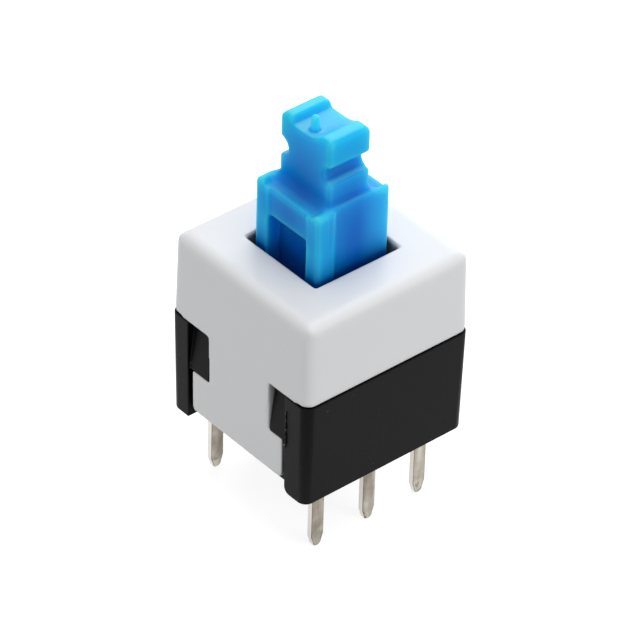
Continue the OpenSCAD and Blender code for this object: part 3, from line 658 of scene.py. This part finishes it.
# %% Blue button plastic: rubbed posts
RUB_LINES, RUB_STRETCH, RUB_BLUE = 5 / MM, (1, 1, 0.04), "58C8F6"
POST_X, POST_Z, POST_Y = (-1.1, -1.3), (11.4, 11.1), (1.0, 1.15)

drawn = add(tree, "ShaderNodeMapping", {"Vector": place.outputs["Object"], "Scale": RUB_STRETCH})
marks = add(tree, "ShaderNodeTexNoise", {"Vector": drawn.outputs[0], "Scale": RUB_LINES, "Detail": 2.0})
lines = add(tree, "ShaderNodeMapRange", {"Value": marks.outputs["Fac"], "From Min": 0.48, "From Max": 0.66,
                                         "To Max": 0.28})
beside = add(tree, "ShaderNodeMath", {0: level.outputs["Y"]}, operation="ABSOLUTE")
for value, (none, full) in ((level.outputs["X"], POST_X), (level.outputs["Z"], POST_Z),
                            (beside.outputs[0], POST_Y)):
    mask = add(tree, "ShaderNodeMapRange", {"Value": value, "From Min": none * MM, "From Max": full * MM})
    lines = add(tree, "ShaderNodeMath", {0: lines.outputs[0], 1: mask.outputs[0]}, operation="MULTIPLY")
tone = add(tree, "ShaderNodeMix", {0: lines.outputs[0], 6: tone.outputs[2], 7: linear(RUB_BLUE)},
           data_type="RGBA")
print("rubbed lines", round(1 / RUB_LINES / MM, 2), "mm apart below z", POST_Z[0], "mm")

# %% [markdown]
# Every edge of a milky plastic glows, since light leaves through both of its faces. That
# glow is painted: a second look inside, of short range, finds the last third of a
# millimetre before each edge, and the colour is lifted there to a thin pale rim.

# %% Blue button plastic: painted glow on the rims
RIM_DEPTH, RIM_GLOW_BLUE = 0.35 * MM, "5CD0F8"

rim = add(tree, "ShaderNodeAmbientOcclusion", {"Distance": RIM_DEPTH}, inside=True, samples=AO_SAMPLES)
glint = add(tree, "ShaderNodeMapRange", {"Value": rim.outputs["AO"], "From Min": 0.45, "From Max": 0.9,
                                         "To Min": 0.6, "To Max": 0.0})
# Painted glow: a pale rim along each edge.
tone = add(tree, "ShaderNodeMix", {0: glint.outputs[0], 6: tone.outputs[2], 7: linear(RIM_GLOW_BLUE)},
           data_type="RGBA")
print("rims glow within", round(RIM_DEPTH / MM, 2), "mm of an edge")

# %% [markdown]
# In the hollows at the neck's foot, in the cap groove and in the window, little light
# reaches, and the blue is painted to its deepest there as painted shade. Outward ambient
# occlusion finds them. The open head and the ledge at the +X end are kept clear of it.
#
# Subsurface scattering then carries light through the thin parts. Its radius is
# largest in blue and smallest in red, because the dye swallows red first. Acetal is
# satin, so its highlights are faint and wide.

# %% Blue button plastic: painted hollow shade and shader
HOLLOW_SHADE_BLUE, HEAD_KEEP = "0044A2", 0.85
LEDGE_FROM, LEDGE_TO, LEDGE_KEEP = 10.6 * MM, 11.2 * MM, 1.1
SCATTER_MM, SCATTER_RGB = 1.8, (0.12, 0.72, 1.0)

shade = add(tree, "ShaderNodeMapRange", {"Value": hollow.outputs["AO"], "From Min": 0.15, "From Max": 0.92})
lit_head = add(tree, "ShaderNodeMath", {0: head.outputs[0], 1: HEAD_KEEP}, operation="MULTIPLY")
shade = add(tree, "ShaderNodeMath", {0: shade.outputs[0], 1: lit_head.outputs[0]}, operation="MAXIMUM")
ledge = add(tree, "ShaderNodeMapRange", {"Value": level.outputs["Z"], "From Min": LEDGE_FROM,
                                         "From Max": LEDGE_TO, "To Max": LEDGE_KEEP})
# The far side's share ends at 0.85, which makes this at most 0.94.
ledge = add(tree, "ShaderNodeMath", {0: ledge.outputs[0], 1: lit_far_side.outputs[0]}, operation="MULTIPLY")
shade = add(tree, "ShaderNodeMath", {0: shade.outputs[0], 1: ledge.outputs[0]}, operation="MAXIMUM")
# Painted shade: the hollows darken towards the deepest blue.
tone = add(tree, "ShaderNodeMix", {0: shade.outputs[0], 6: linear(HOLLOW_SHADE_BLUE), 7: tone.outputs[2]},
           data_type="RGBA")
rough = add(tree, "ShaderNodeMapRange", {"Value": grain.outputs["Fac"], "To Min": 0.28, "To Max": 0.42})
bump = add(tree, "ShaderNodeBump", {"Height": grain.outputs["Fac"], "Distance": 0.003 * MM, "Strength": 0.5})
shader = add(tree, "ShaderNodeBsdfPrincipled", {
    "Base Color": tone.outputs[2], "Roughness": rough.outputs[0], "IOR": 1.48, "Specular IOR Level": 0.12,
    "Subsurface Weight": 1.0, "Subsurface Radius": SCATTER_RGB, "Subsurface Scale": SCATTER_MM * MM,
    "Normal": bump.outputs[0]})
tree.links.new(shader.outputs[0], output.inputs["Surface"])
print("hollows", HOLLOW_SHADE_BLUE, "and light spread over", SCATTER_MM, "mm; the IOR of acetal is 1.48")

# %% [markdown]
# The button has a square block with a window on one side, a neck, and a head with a
# groove on each side for a push-fit cap. A thin peg in the head's channel is where the
# plastic was fed in. It could be cut with bevels, but many small edges meet at the
# neck and the window, and every corner is soft. So it is made again as a finer net
# than the cover, with six passes everywhere.

# %% Button
BUTTON_GRAIN, BUTTON_PASSES = 0.055, 6
solid = remould("plunger", BUTTON_GRAIN, BUTTON_PASSES)
finish_piece("push_button", solid, "button", blue_pom, ["plunger"], crisp=False)

# %% [markdown]
# The pins are stamped from brass sheet and then tinned, so that solder wets them. Dull
# tin is a warm grey with a broad, blurred reflection. It streaks along the pin, the way
# it ran off after the bath, and on the shelf it gets brownish stains about a millimetre
# across. The streaks are drawn 0.4 mm apart, about four times as coarse as real ones.
# A plain noise gives the stains, and one pulled out tenfold gives the streaks.

# %% Tin plating: streaks and stains
STREAKS, STAINS, ALONG_PIN = 2.4 / MM, 0.9 / MM, (1, 1, 0.1)
TIN_DULL, TIN_BRIGHT, TIN_STAIN = "8F8779", "C6C0B4", "6B6050"

tin, tree, output = new_material("tin_plated_brass")
place = add(tree, "ShaderNodeTexCoord")
along = add(tree, "ShaderNodeMapping", {"Vector": place.outputs["Object"], "Scale": ALONG_PIN})
streak = add(tree, "ShaderNodeTexNoise", {"Vector": along.outputs[0], "Scale": STREAKS, "Detail": 4.0})
stain = add(tree, "ShaderNodeTexNoise", {"Vector": place.outputs["Object"], "Scale": STAINS, "Detail": 3.0})
share = add(tree, "ShaderNodeMapRange", {"Value": streak.outputs["Fac"], "From Min": 0.35, "From Max": 0.65})
bright = add(tree, "ShaderNodeMix", {0: share.outputs[0], 6: linear(TIN_DULL), 7: linear(TIN_BRIGHT)},
             data_type="RGBA")
stained = add(tree, "ShaderNodeMapRange", {"Value": stain.outputs["Fac"], "From Min": 0.42, "From Max": 0.7,
                                           "To Max": 0.85})
tone = add(tree, "ShaderNodeMix", {0: stained.outputs[0], 6: bright.outputs[2], 7: linear(TIN_STAIN)},
           data_type="RGBA")
print("tin", TIN_DULL, "to", TIN_BRIGHT, "with stains", round(1 / STAINS / MM, 1), "mm wide")

# %% [markdown]
# The tips were handled and dipped most and carry dark specks of old flux, a quarter of
# a millimetre wide. They could be small pieces of their own, but they have no height
# to speak of. A mask by height fades them in over 0.7 mm, since all six tips lie level.

# %% Tin plating: tips
FLUX_FROM, FLUX_TO, FLUX_SPECKS, FLUX_BROWN = -2.3 * MM, -3.0 * MM, 4 / MM, "544838"

level = add(tree, "ShaderNodeSeparateXYZ", {"Vector": place.outputs["Object"]})
tip = add(tree, "ShaderNodeMapRange", {"Value": level.outputs["Z"], "From Min": FLUX_FROM,
                                       "From Max": FLUX_TO})
crumbs = add(tree, "ShaderNodeTexNoise", {"Vector": place.outputs["Object"], "Scale": FLUX_SPECKS,
                                          "Detail": 2.0})
flux = add(tree, "ShaderNodeMapRange", {"Value": crumbs.outputs["Fac"], "From Min": 0.5, "From Max": 0.62,
                                        "To Max": 0.8})
flux = add(tree, "ShaderNodeMath", {0: flux.outputs[0], 1: tip.outputs[0]}, operation="MULTIPLY")
tone = add(tree, "ShaderNodeMix", {0: flux.outputs[0], 6: tone.outputs[2], 7: linear(FLUX_BROWN)},
           data_type="RGBA")
print("flux", FLUX_BROWN, "in specks", round(1 / FLUX_SPECKS / MM, 2), "mm wide below z",
      round(FLUX_FROM / MM, 1), "mm")

# %% [markdown]
# The narrow sides of a stamped pin are its sheared edges. They are smooth and bright,
# and tin is thin and dark on the arris between them and the broad faces. The surface
# normal's sideways part tells the three apart: near 1 on the narrow sides, near 0 on
# the broad faces and in between on the arris.

# %% Tin plating: sheared sides and shader
SHEARED, ARRIS = "E4E1DB", "6A6155"

facing = add(tree, "ShaderNodeSeparateXYZ", {"Vector": place.outputs["Normal"]})
sideways = add(tree, "ShaderNodeMath", {0: facing.outputs["X"]}, operation="ABSOLUTE")
sheared = add(tree, "ShaderNodeMapRange", {"Value": sideways.outputs[0], "From Min": 0.75, "From Max": 0.95,
                                           "To Max": 0.8})
tone = add(tree, "ShaderNodeMix", {0: sheared.outputs[0], 6: tone.outputs[2], 7: linear(SHEARED)},
           data_type="RGBA")
arris = add(tree, "ShaderNodeMath", {0: sideways.outputs[0], 1: 0.5, 2: 0.25}, operation="COMPARE")
tone = add(tree, "ShaderNodeMix", {0: arris.outputs[0], 6: tone.outputs[2], 7: linear(ARRIS)},
           data_type="RGBA")
rough = add(tree, "ShaderNodeMapRange", {"Value": streak.outputs["Fac"], "To Min": 0.28, "To Max": 0.48})
bump = add(tree, "ShaderNodeBump", {"Height": streak.outputs["Fac"], "Distance": 0.01 * MM, "Strength": 0.5})
shader = add(tree, "ShaderNodeBsdfPrincipled", {
    "Base Color": tone.outputs[2], "Roughness": rough.outputs[0], "Metallic": 1.0, "Normal": bump.outputs[0]})
tree.links.new(shader.outputs[0], output.inputs["Surface"])
print("sheared sides", SHEARED, "and arris", ARRIS)

# %% [markdown]
# Each row has three pins: one that the contact leaves when the button goes down (nc),
# the common one (com), and one that it reaches (no). Above the base's floor each pin
# widens to a plate that the contact slides on. One pin could be drawn and copied five
# times, but the plates differ, so each is its own solid, and one loop finishes all six.
# A bevel of 0.03 mm is what the punch leaves.

# %% Pins
PIN_EDGE = 0.03
for side in ("front", "rear"):
    for contact in ("nc", "com", "no"):
        node = f"terminal_{side}_{contact}"
        solid = merged_copy(node)
        soften(solid, PIN_EDGE)
        finish_piece(f"pin_{side}_{contact}", solid, "case", tin, [node])

# %% [markdown]
# The moving contacts are strips of phosphor bronze, a springy copper alloy of a warm
# reddish gold. Rolling leaves it half bright, with fine lines along the strip. They
# are drawn 0.1 mm apart, about five times as coarse as real ones, from a noise that is
# pulled out along X.

# %% Phosphor bronze
ROLL_LINES, ALONG_STRIP = 10 / MM, (0.1, 1, 1)
BRONZE_LOW, BRONZE_HIGH = "B8814A", "D9A56B"

bronze, tree, output = new_material("rolled_phosphor_bronze")
place = add(tree, "ShaderNodeTexCoord")
along = add(tree, "ShaderNodeMapping", {"Vector": place.outputs["Object"], "Scale": ALONG_STRIP})
rolled = add(tree, "ShaderNodeTexNoise", {"Vector": along.outputs[0], "Scale": ROLL_LINES, "Detail": 3.0})
tone = add(tree, "ShaderNodeMix", {0: rolled.outputs["Fac"], 6: linear(BRONZE_LOW), 7: linear(BRONZE_HIGH)},
           data_type="RGBA")
rough = add(tree, "ShaderNodeMapRange", {"Value": rolled.outputs["Fac"], "To Min": 0.22, "To Max": 0.4})
bump = add(tree, "ShaderNodeBump", {"Height": rolled.outputs["Fac"], "Distance": 0.003 * MM, "Strength": 0.5})
shader = add(tree, "ShaderNodeBsdfPrincipled", {
    "Base Color": tone.outputs[2], "Roughness": rough.outputs[0], "Metallic": 1.0, "Normal": bump.outputs[0]})
tree.links.new(shader.outputs[0], output.inputs["Surface"])
print("bronze", BRONZE_LOW, "to", BRONZE_HIGH, "with lines", round(1 / ROLL_LINES / MM, 2), "mm apart")

# %% [markdown]
# One strip on each side of the button bridges two plates of its row with bent fingers.
# It is blanked and bent from thin sheet, so only its edges need softening. It rides on
# the button and slides down with it.

# %% Contact strips
STRIP_EDGE = 0.015
for side in ("front", "rear"):
    node = f"moving_contact_{side}"
    solid = merged_copy(node)
    soften(solid, STRIP_EDGE, steps=2)
    finish_piece(f"contact_strip_{side}", solid, "button", bronze, [node])

# %% [markdown]
# The return spring, the latch wire and its leaf are hard-drawn spring steel: a cool
# grey metal with a tight, fairly clear reflection. The die leaves it finely pitted. The
# pits are drawn 0.08 mm wide, several times too coarse. The wires run every way, so
# the noise isn't pulled out along any one of them.

# %% Spring steel
DIE_PITS, STEEL_LOW, STEEL_HIGH = 12 / MM, "9C9FA3", "C8CACC"

steel, tree, output = new_material("drawn_spring_steel")
place = add(tree, "ShaderNodeTexCoord")
drawn = add(tree, "ShaderNodeTexNoise", {"Vector": place.outputs["Object"], "Scale": DIE_PITS, "Detail": 3.0})
tone = add(tree, "ShaderNodeMix", {0: drawn.outputs["Fac"], 6: linear(STEEL_LOW), 7: linear(STEEL_HIGH)},
           data_type="RGBA")
rough = add(tree, "ShaderNodeMapRange", {"Value": drawn.outputs["Fac"], "To Min": 0.2, "To Max": 0.38})
bump = add(tree, "ShaderNodeBump", {"Height": drawn.outputs["Fac"], "Distance": 0.003 * MM, "Strength": 0.4})
shader = add(tree, "ShaderNodeBsdfPrincipled", {
    "Base Color": tone.outputs[2], "Roughness": rough.outputs[0], "Metallic": 1.0, "Normal": bump.outputs[0]})
tree.links.new(shader.outputs[0], output.inputs["Surface"])
print("steel", STEEL_LOW, "to", STEEL_HIGH, "with pits", round(1 / DIE_PITS / MM, 2), "mm wide")

# %% [markdown]
# The latch wire swings on its foot while its bent tip follows the heart-shaped cam,
# and a bowed leaf presses it into the cam. The wire could be a curve with a round
# bevel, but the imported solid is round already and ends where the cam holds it, so its
# copy keeps its shape. The leaf is thin sheet and gets a small bevel.

# %% Latch wire and leaf
LEAF_EDGE = 0.01
solid = merged_copy("latch_wire")
finish_piece("catch_wire", solid, "latch", steel, ["latch_wire"])
solid = merged_copy("latch_spring")
soften(solid, LEAF_EDGE, steps=2)
finish_piece("leaf_spring", solid, "case", steel, ["latch_spring"])

# %% [markdown]
# The return spring pushes the button up. Its first and last turns lie close, which
# gives the spring flat ends to stand on, and the six between share the rest of its
# height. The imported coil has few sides, so it is wound afresh. A Screw modifier winds
# with one pitch only. Spin with a rise at every step can change it from turn to turn: a
# circle the size of the wire travels round the axis, and the next turns start where it
# stopped.

# %% Return spring
COIL_WIRE, COIL_AXIS_R, COIL_X = 0.22 * MM, 0.84 * MM, 0.3 * MM
FREE_TURNS, STEPS, WIRE_SIDES = 6, 40, 12
low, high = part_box("return_spring")
rise = high.z - low.z - COIL_WIRE
free_pitch = (rise - 2 * COIL_WIRE) / FREE_TURNS

coil = bmesh.new()
start = Matrix.Translation((COIL_X + COIL_AXIS_R, 0, low.z + COIL_WIRE / 2))
bmesh.ops.create_circle(coil, radius=COIL_WIRE / 2, segments=WIRE_SIDES,
                        matrix=start @ Matrix.Rotation(math.radians(90), 4, "X"))
ring = coil.edges[:]
for turns, pitch in ((1, COIL_WIRE), (FREE_TURNS, free_pitch), (1, COIL_WIRE)):
    swept = bmesh.ops.spin(coil, geom=ring, cent=(COIL_X, 0, 0), axis=(0, 0, 1), angle=math.tau * turns,
                           dvec=(0, 0, pitch / STEPS), steps=STEPS * turns, use_merge=False)
    ring = [e for e in swept["geom_last"] if isinstance(e, bmesh.types.BMEdge)]
bmesh.ops.holes_fill(coil, edges=[e for e in coil.edges if e.is_boundary], sides=0)
bmesh.ops.recalc_face_normals(coil, faces=coil.faces[:])
heights = [v.co.z / MM for v in coil.verts]
print("coil from", round(min(heights), 2), "to", round(max(heights), 2), "mm")

# %% [markdown]
# When the button goes down, the spring shortens to 0.574 of its height: 5.4 mm less
# the 2.3 mm of travel. A coil can't ride on the button, or its foot would sink through
# the base, so it rides on the case, with a mesh of its own.

# %% Spring on the case
spring = finish_piece("return_coil", coil, "case", steel, ["return_spring"])
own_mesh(spring)
